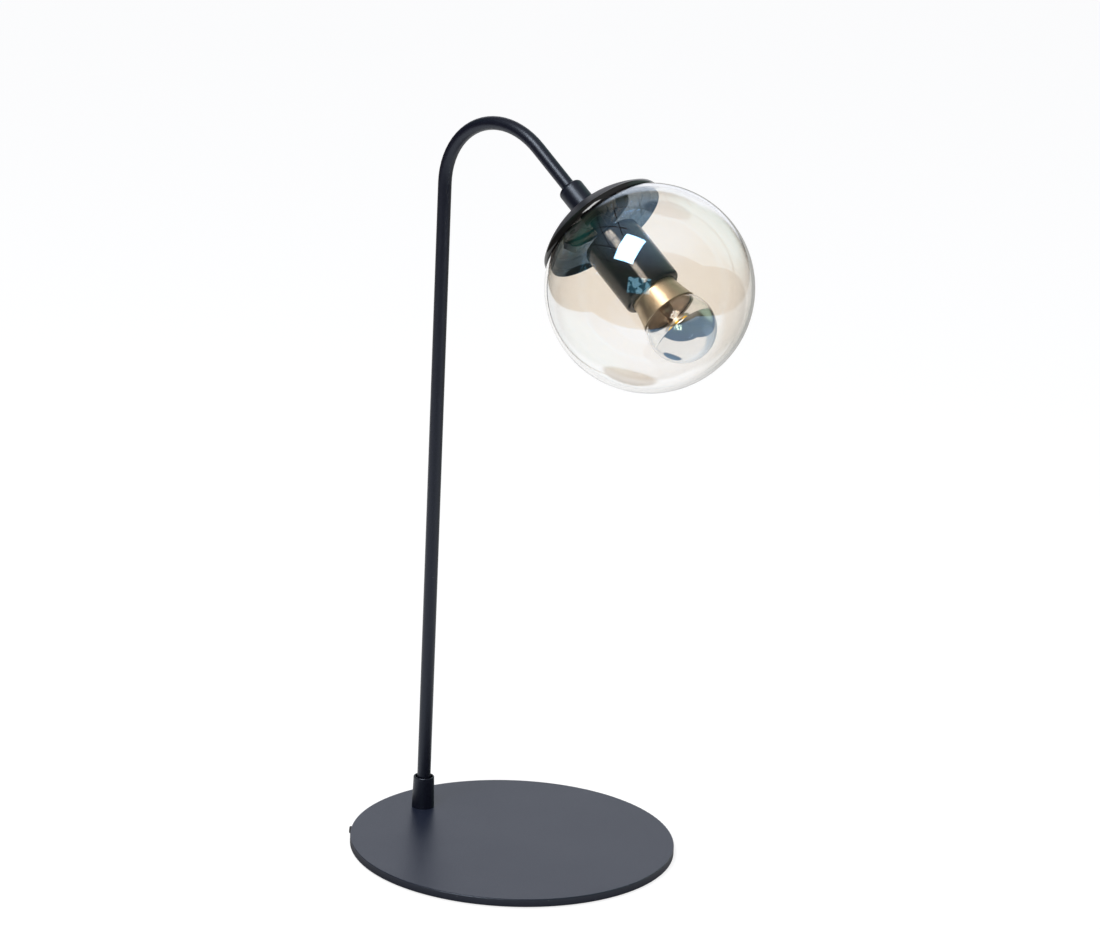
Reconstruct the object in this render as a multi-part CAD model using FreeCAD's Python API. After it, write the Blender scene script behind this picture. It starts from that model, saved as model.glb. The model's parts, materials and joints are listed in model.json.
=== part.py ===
import FreeCAD, Part

"""Glass globe table lamp: a round steel plate, a cane-shaped stem, a glossy cap and a hanging glass globe.

Millimetres. The plate's centre on the table is the origin and +Z is up. The stem stands at -X, arches over
the plate in the XZ plane and slopes down towards +X. Everything on the head is drawn upright about its own
axis, with height 0 at the globe's centre and +Z towards the stem, and is tilted into place at the end.
"""

import math
import os

from FreeCAD import Vector

# ---- driving dimensions -------------------------------------------------------------------------------

PLATE_RADIUS = 120.0
PLATE_THICKNESS = 6.0
PAD_THICKNESS = 0.8
PAD_RADIUS = 117.0

STEM_X = -90.0
STEM_RADIUS = 5.0
STEM_WALL = 1.0
STEM_UPRIGHT_TOP = 492.5
STEM_BEND_RADIUS = 56.0
HEAD_SLOPE = 35.6
BEND_TO_GLOBE = 136.0

GLOBE_RADIUS = 75.0
GLOBE_WALL = 2.2
GLOBE_MOUTH_RADIUS = 30.0

CAP_DOME_RADIUS = 76.0
CAP_DOME_CENTRE = 2.7
CAP_WALL = 1.2
CAP_EDGE_TOP = 61.9
CAP_EDGE_ROUND = 5.5
CAP_EDGE_TURN = 62.0

HEAD_COLLAR_RADIUS = 9.5
HEAD_COLLAR_TOP = 98.0
HEAD_COLLAR_ROUND = 3.0

FOOT_COLLAR_HEIGHT = 24.0
FOOT_COLLAR_RADIUS_LOW = 8.4
FOOT_COLLAR_RADIUS_TOP = 7.75

HOLDER_RADIUS = 22.25
HOLDER_TOP = 48.5
HOLDER_SPLIT = 38.0
HOLDER_MOUTH = -5.2
HOLDER_MOUTH_RADIUS = 18.0

BULB_CENTRE = -38.2
BULB_RADIUS = 25.1
BULB_WALL = 0.8
BULB_CAP_BASE = 5.5
BULB_COLLAR_RIM = -23.8
BULB_COLLAR_RIM_RADIUS = 21.6
MIRROR_START = -41.5
LED_FACE = -35.4
LED_COUNT = 8

FLEX_RADIUS = 2.1
FLEX_CENTRE_HEIGHT = 3.4
FLEX_FOOT_BEND = 8.0
GROOVE_BEND_RADIUS = 36.0
CORD_EXIT_ANGLE = 215.0

# ---- shared standards and fits ------------------------------------------------------------------------

FIT = 0.02                # radial play of a turned fit, such as the tube in its collars
LAID = 0.05               # play between faces that lie on one another
GLASS_PLAY = 0.3          # air between the glass and the metal around it
M10_RADIUS = 5.0          # M10 x 1 lamp thread, drawn at its outside diameter
M10_BORE = 4.0
M10_NUT_FLATS = 14.0
M10_NUT_HEIGHT = 3.0
E27_CREST = 13.1
E27_ROOT = 12.3
E27_PITCH = 3.629
E27_TURNS = 5

PLATE_TOP = PAD_THICKNESS + PLATE_THICKNESS
UP = Vector(0, 0, 1)
DOWN = Vector(0, 0, -1)
AXIS_X = Vector(1, 0, 0)
AXIS_Y = Vector(0, 1, 0)
ORIGIN = Vector(0, 0, 0)
FOOT = Vector(STEM_X, 0, 0)

STEM_TURN = 90.0 + HEAD_SLOPE
STEM_SOCKET_DEPTH = 10.0
TUBE_FOOT_END = PLATE_TOP + 10.0

HEAD_DIRECTION = Vector(math.cos(math.radians(HEAD_SLOPE)), 0, -math.sin(math.radians(HEAD_SLOPE)))
BEND_CENTRE = Vector(STEM_X + STEM_BEND_RADIUS, 0, STEM_UPRIGHT_TOP)
BEND_END = BEND_CENTRE + Vector(
    -STEM_BEND_RADIUS * math.cos(math.radians(STEM_TURN)),
    0,
    STEM_BEND_RADIUS * math.sin(math.radians(STEM_TURN)),
)
GLOBE_CENTRE = BEND_END + HEAD_DIRECTION * BEND_TO_GLOBE
TUBE_HEAD_END = HEAD_COLLAR_TOP - STEM_SOCKET_DEPTH

OUTWARD = Vector(math.cos(math.radians(CORD_EXIT_ANGLE)), math.sin(math.radians(CORD_EXIT_ANGLE)), 0)
INWARD = -OUTWARD
ACROSS = UP.cross(INWARD)
CORD_EXIT = OUTWARD * PLATE_RADIUS
GROOVE_IN = (FOOT - CORD_EXIT).dot(INWARD)
GROOVE_ACROSS = (FOOT - CORD_EXIT).dot(ACROSS)


# ---- drawing helpers ----------------------------------------------------------------------------------

def height_on_sphere(radius, centre_height, at_radius, side=1):
    """Height of the sphere's surface at a distance from the axis, above (1) or below (-1) its centre."""
    return centre_height + side * math.sqrt(radius ** 2 - at_radius ** 2)


def sphere_arc(radius, centre_height, start, end):
    """An arc move along a sphere's meridian, from one (r, z) point to the other."""
    a = math.atan2(start[0], start[1] - centre_height)
    b = math.atan2(end[0], end[1] - centre_height)
    middle = (a + b) / 2
    return ((radius * math.sin(middle), centre_height + radius * math.cos(middle)), end)


def turned(start, *moves):
    """A solid of revolution about Z. A move is an (r, z) point, or a pair of points for an arc."""
    edges = []
    here = start
    for move in list(moves) + [start]:
        is_arc = isinstance(move[0], tuple)
        end = move[1] if is_arc else move
        a = Vector(here[0], 0, here[1])
        b = Vector(end[0], 0, end[1])
        if a.distanceToPoint(b) < 1e-6:
            continue
        if is_arc:
            middle = Vector(move[0][0], 0, move[0][1])
            edges.append(Part.Arc(a, middle, b).toShape())
        else:
            edges.append(Part.LineSegment(a, b).toShape())
        here = end
    return Part.Face(Part.Wire(edges)).revolve(ORIGIN, UP, 360)


def ring(outer, inner, low, high):
    return turned((inner, low), (outer, low), (outer, high), (inner, high))


def cylinder(radius, start, direction, length):
    return Part.makeCylinder(radius, length, start, direction)


def hexagon_nut(flats, bore, low, height, chamfer=0.6):
    """A hexagon nut standing on the axis, its corners turned off top and bottom."""
    corner = flats / math.sqrt(3)
    corners = [
        Vector(corner * math.cos(math.radians(60 * k)), corner * math.sin(math.radians(60 * k)), low)
        for k in range(7)
    ]
    blank = Part.Face(Part.makePolygon(corners)).extrude(Vector(0, 0, height))
    high = low + height
    barrel = turned(
        (0, low),
        (flats / 2, low),
        (corner, low + chamfer),
        (corner, high - chamfer),
        (flats / 2, high),
        (0, high),
    )
    return blank.common(barrel).cut(cylinder(bore, Vector(0, 0, low - 1), UP, height + 2))


def about_axis(shape, count, offset=0.0):
    """Copies of a shape, evenly spaced about Z."""
    copies = []
    for k in range(count):
        copy = shape.copy()
        copy.rotate(ORIGIN, UP, offset + 360.0 * k / count)
        copies.append(copy)
    return copies


def disc(radius, centre, heading):
    return Part.Face(Part.Wire(Part.makeCircle(radius, centre, heading)))


def swept(section, start, heading, moves):
    """A flat section carried along straight runs (length) and bends (radius, angle, side it turns to)."""
    here = start
    pieces = []
    for move in moves:
        if isinstance(move, tuple):
            bend_radius, angle, side = move
            centre = here + side * bend_radius
            axis = heading.cross(side)
            pieces.append(section.revolve(centre, axis, angle))
            section.rotate(centre, axis, angle)
            turn = FreeCAD.Rotation(axis, angle)
            here = centre + turn.multVec(here - centre)
            heading = turn.multVec(heading)
        else:
            pieces.append(section.extrude(heading * move))
            section.translate(heading * move)
            here = here + heading * move
    bar = pieces[0]
    for piece in pieces[1:]:
        bar = bar.fuse(piece)
    return bar.removeSplitter()


def round_bar(radius, start, heading, moves):
    return swept(disc(radius, start, heading), start, heading, moves)


def grub_screw(radius, length, key, tip, direction):
    """A socket set screw whose point is at tip and whose hexagon key hole faces the direction."""
    body = cylinder(radius, tip, direction, length - 0.4)
    body = body.fuse(Part.makeCone(radius, radius - 0.4, 0.4, tip + direction * (length - 0.4), direction))
    corner = key / math.sqrt(3)
    side = direction.cross(UP)
    if side.Length < 0.1:
        side = direction.cross(AXIS_X)
    side.normalize()
    up = side.cross(direction)
    base = tip + direction * (length * 0.45)
    corners = []
    for k in range(7):
        angle = math.radians(60 * k)
        corners.append(base + side * (corner * math.cos(angle)) + up * (corner * math.sin(angle)))
    socket = Part.Face(Part.makePolygon(corners)).extrude(direction * length)
    return body.cut(socket)


# ---- the base -----------------------------------------------------------------------------------------

FOOT_SCREW_RADIUS = 1.45
FOOT_SCREW_HEAD = 2.75
FOOT_SCREW_LENGTH = 12.0
FOOT_SCREW_OFFSET = 6.45
FOOT_SCREW_LOW = PAD_THICKNESS + LAID
FOOT_BORE = 4.5
COUNTERSINK_DEPTH = 1.4
BUSH_RADIUS = 2.7
BUSH_LENGTH = 10.0
BUSH_NOSE = 1.6
GROOVE_RADIUS = 2.3
FOOT_COLLAR_MOUTH = 6.4
FOOT_COLLAR_MOUTH_DEPTH = 2.6
FOOT_GRUB_HEIGHT = PLATE_TOP + 15.5
FOOT_GRUB_LENGTH = 2.9
GRUB_RADIUS = 2.0
GRUB_KEY = 2.0


def flex_route(overshoot):
    """The flex's moves from outside the plate's edge: square in, round, and across to the stem's foot."""
    return [
        overshoot + GROOVE_IN - GROOVE_BEND_RADIUS,
        (GROOVE_BEND_RADIUS, 90, ACROSS),
        GROOVE_ACROSS - GROOVE_BEND_RADIUS - FLEX_FOOT_BEND,
        (FLEX_FOOT_BEND, 90, UP),
    ]


def edge_point(overshoot):
    return CORD_EXIT + OUTWARD * overshoot + UP * FLEX_CENTRE_HEIGHT


def open_channel(radius, start, moves):
    """A groove's cutter: a round bar with straight sides below it, so that it opens under the plate."""
    across = INWARD.cross(UP) * radius
    foot = Vector(start.x, start.y, 0)
    corners = [foot - across, foot + across, start + across, start - across, foot - across]
    skirt = swept(Part.Face(Part.makePolygon(corners)), start, INWARD, moves)
    return round_bar(radius, start, INWARD, moves).fuse(skirt)


def screw_places():
    return [FOOT + INWARD * (sign * FOOT_SCREW_OFFSET) for sign in (-1, 1)]


def base_plate():
    edge = 0.6
    plate = turned(
        (0, PAD_THICKNESS),
        (PLATE_RADIUS - edge / 2, PAD_THICKNESS),
        (PLATE_RADIUS, PAD_THICKNESS + edge / 2),
        (PLATE_RADIUS, PLATE_TOP - edge),
        ((PLATE_RADIUS - edge * 0.293, PLATE_TOP - edge * 0.293), (PLATE_RADIUS - edge, PLATE_TOP)),
        (0, PLATE_TOP),
    )
    overshoot = 5.0
    route = flex_route(overshoot)
    plate = plate.cut(open_channel(GROOVE_RADIUS, edge_point(overshoot), route[:3] + [FLEX_FOOT_BEND]))
    plate = plate.cut(open_channel(BUSH_RADIUS + LAID, edge_point(overshoot), [overshoot + BUSH_LENGTH]))
    plate = plate.cut(round_bar(GROOVE_RADIUS, edge_point(overshoot), INWARD, route))
    plate = plate.cut(cylinder(FOOT_BORE, FOOT, UP, PLATE_TOP * 2))
    for place in screw_places():
        plate = plate.cut(cylinder(FOOT_SCREW_RADIUS + 0.15, place, UP, PLATE_TOP * 2))
        sink = Part.makeCone(
            FOOT_SCREW_HEAD + 0.15,
            FOOT_SCREW_RADIUS + 0.15,
            COUNTERSINK_DEPTH,
            place + UP * PAD_THICKNESS,
            UP,
        )
        plate = plate.cut(sink)
    return plate


def base_pad():
    return ring(PAD_RADIUS, 0, 0, PAD_THICKNESS)


def cord_bush():
    """The rubber sleeve in the plate's edge, with a rounded nose that stands proud of it."""
    tip = 0.5
    overhang = 10.0
    start = edge_point(-BUSH_LENGTH)
    body = cylinder(BUSH_RADIUS, start, OUTWARD, BUSH_LENGTH + BUSH_NOSE - tip)
    nose = Part.makeCone(BUSH_RADIUS, BUSH_RADIUS - 0.35, tip, edge_point(BUSH_NOSE - tip), OUTWARD)
    bush = body.fuse(nose).cut(cylinder(FLEX_RADIUS + LAID, start, OUTWARD, 2 * BUSH_LENGTH))
    pad_room = cylinder(PLATE_RADIUS + overhang, ORIGIN, UP, PAD_THICKNESS + LAID)
    return bush.cut(pad_room)


def foot_screws():
    """Two countersunk screws that come up through the plate into the foot collar."""
    screws = []
    for place in screw_places():
        low = place + UP * FOOT_SCREW_LOW
        head = Part.makeCone(FOOT_SCREW_HEAD, FOOT_SCREW_RADIUS, COUNTERSINK_DEPTH, low, UP)
        shank = cylinder(FOOT_SCREW_RADIUS, low, UP, FOOT_SCREW_LENGTH)
        slot = Part.makeBox(0.8, 2 * FOOT_SCREW_HEAD, 0.7, low + Vector(-0.4, -FOOT_SCREW_HEAD, -0.1))
        screws.append(head.fuse(shank).removeSplitter().cut(slot))
    return Part.makeCompound(screws)


def foot_collar():
    """The slightly tapered collar that stands on the plate, with a step round the tube at its top."""
    top = PLATE_TOP + FOOT_COLLAR_HEIGHT
    rim = 0.4
    socket = STEM_RADIUS + FIT
    collar = turned(
        (FOOT_BORE, PLATE_TOP),
        (FOOT_COLLAR_RADIUS_LOW, PLATE_TOP),
        (FOOT_COLLAR_RADIUS_TOP, top - rim),
        (FOOT_COLLAR_RADIUS_TOP - rim, top),
        (FOOT_COLLAR_MOUTH + rim, top),
        (FOOT_COLLAR_MOUTH, top - rim),
        (FOOT_COLLAR_MOUTH, top - FOOT_COLLAR_MOUTH_DEPTH),
        (socket, top - FOOT_COLLAR_MOUTH_DEPTH),
        (socket, TUBE_FOOT_END),
        (FOOT_BORE, TUBE_FOOT_END),
    )
    collar.translate(FOOT)
    for place in screw_places():
        collar = collar.cut(cylinder(FOOT_SCREW_RADIUS + LAID, place, UP, PLATE_TOP + FOOT_SCREW_LENGTH - 5))
    hole = cylinder(GRUB_RADIUS + LAID, FOOT + UP * FOOT_GRUB_HEIGHT, -AXIS_X, 2 * FOOT_COLLAR_RADIUS_LOW)
    return collar.cut(hole)


def foot_grub():
    tip = FOOT + UP * FOOT_GRUB_HEIGHT - AXIS_X * (STEM_RADIUS + LAID)
    return grub_screw(GRUB_RADIUS, FOOT_GRUB_LENGTH, GRUB_KEY, tip, -AXIS_X)


# ---- the stem and the flex inside it ------------------------------------------------------------------

FLEX_HEAD_END = 43.5


def stem_moves(above, below):
    """The tube's route: straight up, round the bend and down the slope to a height on the head's axis."""
    side = AXIS_X
    return [STEM_UPRIGHT_TOP - above, (STEM_BEND_RADIUS, STEM_TURN, side), BEND_TO_GLOBE - below]


def stem_tube():
    start = FOOT + UP * TUBE_FOOT_END
    moves = stem_moves(TUBE_FOOT_END, TUBE_HEAD_END)
    outer = round_bar(STEM_RADIUS, start, UP, moves)
    inner = round_bar(STEM_RADIUS - STEM_WALL, start, UP, moves)
    return outer.cut(inner)


def inner_flex():
    """The sheathed flex: along the groove, up through the foot and the whole stem to the lampholder."""
    inset = BUSH_NOSE - 1.0
    route = flex_route(inset) + stem_moves(FLEX_CENTRE_HEIGHT + FLEX_FOOT_BEND, FLEX_HEAD_END)
    return round_bar(FLEX_RADIUS, edge_point(inset), INWARD, route)


# ---- the head: cap, collar and what holds the globe ---------------------------------------------------

NIPPLE_TOP = HEAD_COLLAR_TOP - STEM_SOCKET_DEPTH - 1.5
NIPPLE_END = 43.0
COLLAR_LEDGE_BORE = 4.2
HEAD_GRUB_HEIGHT = 91.5
HEAD_GRUB_LENGTH = 4.0
SPIDER_RADIUS = 26.5
SPIDER_HIGH = 70.2
SPIDER_THICKNESS = 1.2
SPRING_COUNT = 3
SPRING_WIDTH = 9.0
SPRING_THICKNESS = 0.5
SPRING_DROP_RADIUS = 27.2
SPRING_KNEE_RADIUS = 31.2
SPRING_KNEE_HEIGHT = 62.5
SPRING_END_HEIGHT = 54.4
RIVET_RADIUS = 1.5
RIVET_HEAD = 2.6
RIVET_HEAD_HEIGHT = 0.85
RIVET_PLACE = 19.5
GASKET_INNER = 40.0
GASKET_OUTER = 45.0
CAP_INNER_RADIUS = CAP_DOME_RADIUS - CAP_WALL
CAP_NUT_HIGH = 76.9
HOLDER_PLATE = 2.0


def cap_height(radius, at_radius):
    return height_on_sphere(radius, CAP_DOME_CENTRE, at_radius)


def rolled_edge(radius, lean, middle):
    """The arc move of the cap's rolled edge, from where it leaves the dome to its end by the glass."""
    def at(angle):
        return (middle[0] + radius * math.sin(angle), middle[1] + radius * math.cos(angle))
    turn = math.radians(CAP_EDGE_TURN)
    return (at(lean + turn / 2), at(lean + turn))


def cap_dome():
    """The spun cap. Its edge rolls in to the glass, and its inside is relieved to the globe's curve."""
    hole = M10_RADIUS + 0.1
    lean = math.acos((CAP_EDGE_TOP - CAP_DOME_CENTRE) / CAP_DOME_RADIUS)
    along = CAP_DOME_RADIUS - CAP_EDGE_ROUND
    middle = (along * math.sin(lean), CAP_DOME_CENTRE + along * math.cos(lean))
    edge_top = (CAP_DOME_RADIUS * math.sin(lean), CAP_EDGE_TOP)
    inner_top = (CAP_INNER_RADIUS * math.sin(lean), CAP_DOME_CENTRE + CAP_INNER_RADIUS * math.cos(lean))
    crown = (hole, cap_height(CAP_DOME_RADIUS, hole))
    under = (hole, cap_height(CAP_INNER_RADIUS, hole))
    outer_edge = rolled_edge(CAP_EDGE_ROUND, lean, middle)
    inner_edge = rolled_edge(CAP_EDGE_ROUND - CAP_WALL, lean, middle)
    cap = turned(
        crown,
        sphere_arc(CAP_DOME_RADIUS, CAP_DOME_CENTRE, crown, edge_top),
        outer_edge,
        inner_edge[1],
        (inner_edge[0], inner_top),
        sphere_arc(CAP_INNER_RADIUS, CAP_DOME_CENTRE, inner_top, under),
    )
    return cap.cut(Part.makeSphere(GLOBE_RADIUS + GLASS_PLAY))


def rim_gasket():
    """The soft ring that beds the glass inside the cap."""
    roof = CAP_INNER_RADIUS - LAID
    floor = GLOBE_RADIUS + 0.25
    high_in = (GASKET_INNER, cap_height(roof, GASKET_INNER))
    high_out = (GASKET_OUTER, cap_height(roof, GASKET_OUTER))
    low_out = (GASKET_OUTER, height_on_sphere(floor, 0, GASKET_OUTER))
    low_in = (GASKET_INNER, height_on_sphere(floor, 0, GASKET_INNER))
    return turned(
        high_in,
        sphere_arc(roof, CAP_DOME_CENTRE, high_in, high_out),
        low_out,
        sphere_arc(floor, 0, low_out, low_in),
    )


def head_collar():
    low = CAP_DOME_CENTRE + CAP_DOME_RADIUS - 3.0
    socket = STEM_RADIUS + FIT
    shoulder = HEAD_COLLAR_ROUND * (1 - math.sqrt(0.5))
    collar = turned(
        (socket, low),
        (HEAD_COLLAR_RADIUS, low),
        (HEAD_COLLAR_RADIUS, HEAD_COLLAR_TOP - HEAD_COLLAR_ROUND),
        (
            (HEAD_COLLAR_RADIUS - shoulder, HEAD_COLLAR_TOP - shoulder),
            (HEAD_COLLAR_RADIUS - HEAD_COLLAR_ROUND, HEAD_COLLAR_TOP),
        ),
        (socket, HEAD_COLLAR_TOP),
        (socket, TUBE_HEAD_END),
        (COLLAR_LEDGE_BORE, TUBE_HEAD_END),
        (COLLAR_LEDGE_BORE, NIPPLE_TOP),
        (socket, NIPPLE_TOP),
    )
    dome = Part.makeSphere(CAP_DOME_RADIUS + LAID, Vector(0, 0, CAP_DOME_CENTRE))
    hole = cylinder(GRUB_RADIUS + LAID, UP * HEAD_GRUB_HEIGHT, AXIS_Y, 2 * HEAD_COLLAR_RADIUS)
    return collar.cut(dome).cut(hole)


def head_grub():
    tip = Vector(0, STEM_RADIUS + LAID, HEAD_GRUB_HEIGHT)
    return grub_screw(GRUB_RADIUS, HEAD_GRUB_LENGTH, GRUB_KEY, tip, AXIS_Y)


def head_nipple():
    """The hollow threaded rod that hangs the cap, the spring spider and the lampholder from the collar."""
    return ring(M10_RADIUS, M10_BORE, NIPPLE_END, NIPPLE_TOP)


def head_nuts():
    """Three locknuts on the hollow rod: under the cap, under the spider and inside the lampholder."""
    bore = M10_RADIUS + FIT
    tops = [CAP_NUT_HIGH, SPIDER_HIGH - SPIDER_THICKNESS - LAID, HOLDER_TOP - HOLDER_PLATE - LAID]
    nuts = [hexagon_nut(M10_NUT_FLATS, bore, top - M10_NUT_HEIGHT, M10_NUT_HEIGHT) for top in tops]
    return Part.makeCompound(nuts)


def spacer_sleeve():
    return ring(7.0, M10_RADIUS + 0.1, SPIDER_HIGH + LAID, CAP_NUT_HIGH - M10_NUT_HEIGHT - LAID)


def spring_spider():
    """The three-armed plate that carries the globe's springs."""
    low = SPIDER_HIGH - SPIDER_THICKNESS
    hub = ring(12.0, M10_RADIUS + 0.1, low, SPIDER_HIGH)
    arm = Part.makeBox(SPIDER_RADIUS - 8, SPRING_WIDTH + 2, SPIDER_THICKNESS)
    arm.translate(Vector(8, -SPRING_WIDTH / 2 - 1, low))
    arm = arm.common(ring(SPIDER_RADIUS, 0, low, SPIDER_HIGH))
    spider = hub
    for copy in about_axis(arm, SPRING_COUNT):
        spider = spider.fuse(copy)
    hole = cylinder(RIVET_RADIUS + LAID, AXIS_X * RIVET_PLACE, UP, 100)
    for copy in about_axis(hole, SPRING_COUNT):
        spider = spider.cut(copy)
    return spider.removeSplitter()


def globe_springs():
    """Leaf springs: flat under the spider, then down through the globe's mouth and out under its edge."""
    t = SPRING_THICKNESS
    drop = SPRING_DROP_RADIUS
    knee = SPRING_KNEE_RADIUS
    end = SPRING_END_HEIGHT
    high = SPIDER_HIGH - SPIDER_THICKNESS - LAID
    root = RIVET_PLACE - 4.5
    outside = [
        (root, high),
        (drop - 1.2, high),
        (drop, high - 1.2),
        (drop, SPRING_KNEE_HEIGHT + 4.5),
        (knee, SPRING_KNEE_HEIGHT),
        (drop - 0.2, end + 0.6),
        (drop - 1.6, end),
    ]
    inside = [
        (drop - 1.9, end + t),
        (drop - 0.7, end + 0.9),
        (knee - 0.7, SPRING_KNEE_HEIGHT),
        (drop - t, SPRING_KNEE_HEIGHT + 4.3),
        (drop - t, high - 1.4),
        (drop - 1.4, high - t),
        (root, high - t),
    ]
    corners = [Vector(r, -SPRING_WIDTH / 2, z) for r, z in outside + inside]
    leaf = Part.Face(Part.makePolygon(corners + corners[:1])).extrude(AXIS_Y * SPRING_WIDTH)
    leaf = leaf.cut(cylinder(RIVET_RADIUS + LAID, AXIS_X * RIVET_PLACE, UP, 100))
    return Part.makeCompound(about_axis(leaf, SPRING_COUNT))


def spring_rivets():
    play = 0.05
    roof = SPIDER_HIGH + play
    floor = SPIDER_HIGH - SPIDER_THICKNESS - LAID - SPRING_THICKNESS - play
    head = RIVET_HEAD_HEIGHT
    edge = 0.4
    rivet = turned(
        (0, floor - head),
        (RIVET_HEAD - edge, floor - head),
        (RIVET_HEAD, floor - head + edge),
        (RIVET_HEAD, floor),
        (RIVET_RADIUS, floor),
        (RIVET_RADIUS, roof),
        (RIVET_HEAD, roof),
        (RIVET_HEAD, roof + head - edge),
        (RIVET_HEAD - edge, roof + head),
        (0, roof + head),
    )
    rivet.translate(AXIS_X * RIVET_PLACE)
    return Part.makeCompound(about_axis(rivet, SPRING_COUNT))


def glass_globe():
    """The blown globe, with a fire-polished round edge at its mouth."""
    middle = GLOBE_RADIUS - GLOBE_WALL / 2
    inner = GLOBE_RADIUS - GLOBE_WALL
    angle = math.asin(GLOBE_MOUTH_RADIUS / middle)
    outer_edge = (GLOBE_RADIUS * math.sin(angle), GLOBE_RADIUS * math.cos(angle))
    inner_edge = (inner * math.sin(angle), inner * math.cos(angle))
    lip = (
        middle * math.sin(angle) - GLOBE_WALL / 2 * math.cos(angle),
        middle * math.cos(angle) + GLOBE_WALL / 2 * math.sin(angle),
    )
    return turned(
        outer_edge,
        ((GLOBE_RADIUS, 0), (0, -GLOBE_RADIUS)),
        (0, -inner),
        ((inner, 0), inner_edge),
        (lip, outer_edge),
    )


# ---- the lampholder -----------------------------------------------------------------------------------

HOLDER_WALL = 1.5
HOLDER_NECK_TOP = 44.0
HOLDER_INNER = 19.2
CORE_HIGH = 38.0
CORE_LOW = 6.0
CORE_RADIUS = 18.9
SOCKET_RADIUS = 14.2
SOCKET_TOP = 31.0
WELL_RADIUS = 8.0
WELL_TOP = 35.5
CONTACT_LOW = 33.25
CONTACT_PIN = 1.2
CONTACT_THICKNESS = 0.5
CONTACT_WIDTH = 5.0
TERMINAL_PLACE = 11.5
TERMINAL_HEIGHT = 5.0
WIRE_HEIGHT = 40.3
WIRE_RADIUS = 0.95
CLAMP_RADIUS = 1.2
CLAMP_HEAD_RADIUS = 2.0
CLAMP_HEAD_HEIGHT = 1.3


def holder_cap():
    """The lampholder's top cup, screwed on to the hollow rod."""
    round_edge = 3.0
    shoulder = round_edge * (1 - math.sqrt(0.5))
    inside = HOLDER_RADIUS - HOLDER_WALL
    chamfer = 0.4
    return turned(
        (M10_RADIUS + FIT, HOLDER_TOP),
        (M10_RADIUS + FIT, HOLDER_TOP - HOLDER_PLATE),
        (inside - 1.5, HOLDER_TOP - HOLDER_PLATE),
        (inside, HOLDER_TOP - HOLDER_PLATE - 1.5),
        (inside, HOLDER_SPLIT + LAID),
        (HOLDER_RADIUS - chamfer, HOLDER_SPLIT + LAID),
        (HOLDER_RADIUS, HOLDER_SPLIT + LAID + chamfer),
        (HOLDER_RADIUS, HOLDER_TOP - round_edge),
        (
            (HOLDER_RADIUS - shoulder, HOLDER_TOP - shoulder),
            (HOLDER_RADIUS - round_edge, HOLDER_TOP),
        ),
    )


def holder_skirt():
    """The lampholder's long outer cup: a neck inside the cap, a shoulder for the core, a rolled mouth."""
    neck = HOLDER_RADIUS - HOLDER_WALL - 0.15
    chamfer = 0.4
    roll = 3.0
    shoulder = roll * (1 - math.sqrt(0.5))
    ledge = 17.6
    wall_low = HOLDER_MOUTH + roll
    return turned(
        (HOLDER_INNER, HOLDER_NECK_TOP),
        (HOLDER_INNER, CORE_LOW - LAID),
        (ledge, CORE_LOW - LAID),
        (ledge, CORE_LOW - 1.2),
        (HOLDER_RADIUS - HOLDER_WALL, CORE_LOW - 2.6),
        (HOLDER_RADIUS - HOLDER_WALL, wall_low),
        (HOLDER_RADIUS - roll, HOLDER_MOUTH + HOLDER_WALL),
        (HOLDER_MOUTH_RADIUS + 0.3, HOLDER_MOUTH + HOLDER_WALL),
        (HOLDER_MOUTH_RADIUS, HOLDER_MOUTH + HOLDER_WALL - 0.3),
        (HOLDER_MOUTH_RADIUS, HOLDER_MOUTH + 0.3),
        (HOLDER_MOUTH_RADIUS + 0.3, HOLDER_MOUTH),
        (HOLDER_RADIUS - roll, HOLDER_MOUTH),
        (
            (HOLDER_RADIUS - shoulder, HOLDER_MOUTH + shoulder),
            (HOLDER_RADIUS, wall_low),
        ),
        (HOLDER_RADIUS, HOLDER_SPLIT - chamfer),
        (HOLDER_RADIUS - chamfer, HOLDER_SPLIT),
        (neck, HOLDER_SPLIT),
        (neck, HOLDER_NECK_TOP - 0.5),
        (neck - 0.5, HOLDER_NECK_TOP),
    )


def holder_core():
    """The ceramic body: a socket for the bulb's cap and a well for the centre contact."""
    core = turned(
        (0, WELL_TOP),
        (WELL_RADIUS, WELL_TOP),
        (WELL_RADIUS, SOCKET_TOP),
        (SOCKET_RADIUS, SOCKET_TOP),
        (SOCKET_RADIUS, CORE_LOW),
        (CORE_RADIUS - 1.0, CORE_LOW),
        (CORE_RADIUS, CORE_LOW + 1.0),
        (CORE_RADIUS, CORE_HIGH - 1.0),
        (CORE_RADIUS - 1.0, CORE_HIGH),
        (0, CORE_HIGH),
    )
    return core.cut(cylinder(CONTACT_PIN + LAID, ORIGIN, UP, 100))


def thread_shell():
    """The brass screw shell inside the ceramic body."""
    inner = E27_CREST + 0.35
    outer = E27_CREST + 0.8
    lip = 11.9
    high = SOCKET_TOP - LAID
    low = CORE_LOW + 1.0
    under = high - 0.45
    return turned((inner, low), (outer, low), (outer, high), (lip, high), (lip, under), (inner, under))


def centre_contact():
    """The sprung tongue in the well, with the pin that carries it up through the ceramic."""
    t = CONTACT_THICKNESS
    half = 6.0
    corner = Vector(-half, -CONTACT_WIDTH / 2, CONTACT_LOW)
    tongue = Part.makeBox(2 * half, CONTACT_WIDTH, t, corner)
    riser = Part.makeBox(t, CONTACT_WIDTH, WELL_TOP - CONTACT_LOW, corner)
    top = Part.makeBox(half + 2.5, CONTACT_WIDTH, t, corner + UP * (WELL_TOP - CONTACT_LOW - t))
    pin = cylinder(CONTACT_PIN, UP * (WELL_TOP - t), UP, CORE_HIGH - WELL_TOP + 1.3)
    return tongue.fuse(riser).fuse(top).fuse(pin).removeSplitter()


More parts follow.
